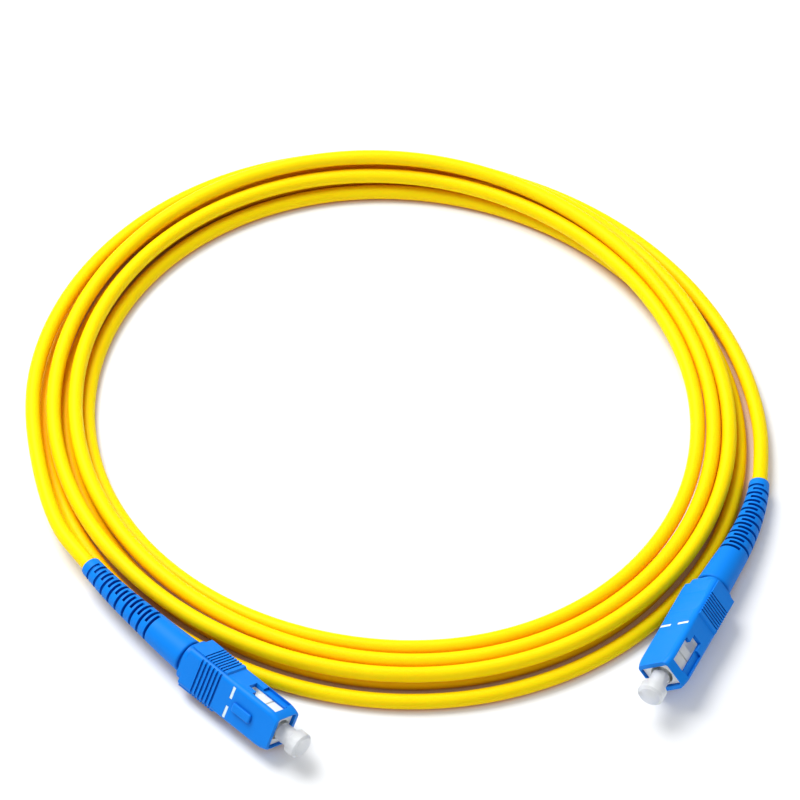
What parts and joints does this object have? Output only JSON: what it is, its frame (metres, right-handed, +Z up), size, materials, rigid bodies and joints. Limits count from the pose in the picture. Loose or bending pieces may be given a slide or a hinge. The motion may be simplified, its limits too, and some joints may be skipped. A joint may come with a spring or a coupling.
{
  "type": "fiber optic patch cord",
  "caption": "Coiled yellow fiber optic patch cord with a square blue push-pull plug, ribbed boot and clear dust cap at each end.",
  "frame": {"origin": "on the surface the cord lies on, under the middle of the box round the two plugs and their boots", "axes": "+Z up from the surface, +X from the left plug to the right plug, +Y from the plugs towards the far side of the coil"},
  "size_m": [0.1568, 0.1627, 0.0124],
  "materials": {
    "blue_shell": "satin",
    "blue_boot": "matte",
    "white_frame": "satin",
    "clear_cap": "gloss",
    "white_ceramic": "polished",
    "flange_metal": "satin",
    "spring_steel": "satin",
    "stop_ring_metal": "satin",
    "crimp_metal": "satin",
    "fibre_buffer": "matte",
    "yarn": "matte",
    "yellow_jacket": "satin"
  },
  "bodies": {
    "cord_set": {"a_plug_frame": "white_frame", "a_spring": "spring_steel", "a_stop_ring": "stop_ring_metal", "a_aramid_yarn": "yarn", "a_crimp_sleeve": "crimp_metal", "a_boot": "blue_boot", "b_plug_frame": "white_frame", "b_spring": "spring_steel", "b_stop_ring": "stop_ring_metal", "b_aramid_yarn": "yarn", "b_crimp_sleeve": "crimp_metal", "b_boot": "blue_boot", "cord_tail_a": "yellow_jacket", "cord_coil": "yellow_jacket", "cord_tail_b": "yellow_jacket"},
    "a_grip": {"a_outer_shell": "blue_shell"},
    "a_ferrule_set": {"a_ferrule": "white_ceramic", "a_ferrule_flange": "flange_metal", "a_buffered_fibre": "fibre_buffer"},
    "a_cap": {"a_dust_cap": "clear_cap"},
    "b_grip": {"b_outer_shell": "blue_shell"},
    "b_ferrule_set": {"b_ferrule": "white_ceramic", "b_ferrule_flange": "flange_metal", "b_buffered_fibre": "fibre_buffer"},
    "b_cap": {"b_dust_cap": "clear_cap"}
  },
  "joints": [
    {"name": "a_grip_slide", "type": "slide", "parent": "cord_set", "child": "a_grip", "axis": [0.7266, -0.6871, 0], "range_m": [0, 0.0015]},
    {"name": "a_ferrule_retract", "type": "slide", "parent": "cord_set", "child": "a_ferrule_set", "axis": [0.7266, -0.6871, 0], "range_m": [-0.0009, 0], "stiffness_N_per_m": 1000, "springref_m": 0.004, "deforming": ["a_spring"]},
    {"name": "a_cap_pull", "type": "slide", "parent": "cord_set", "child": "a_cap", "axis": [0.7266, -0.6871, 0], "range_m": [0, 0.02]},
    {"name": "b_grip_slide", "type": "slide", "parent": "cord_set", "child": "b_grip", "axis": [-0.437, -0.896, 0.0785], "range_m": [0, 0.0015]},
    {"name": "b_ferrule_retract", "type": "slide", "parent": "cord_set", "child": "b_ferrule_set", "axis": [-0.437, -0.896, 0.0785], "range_m": [-0.0009, 0], "stiffness_N_per_m": 1000, "springref_m": 0.004, "deforming": ["b_spring"]},
    {"name": "b_cap_pull", "type": "slide", "parent": "cord_set", "child": "b_cap", "axis": [-0.437, -0.896, 0.0785], "range_m": [0, 0.02]}
  ]
}
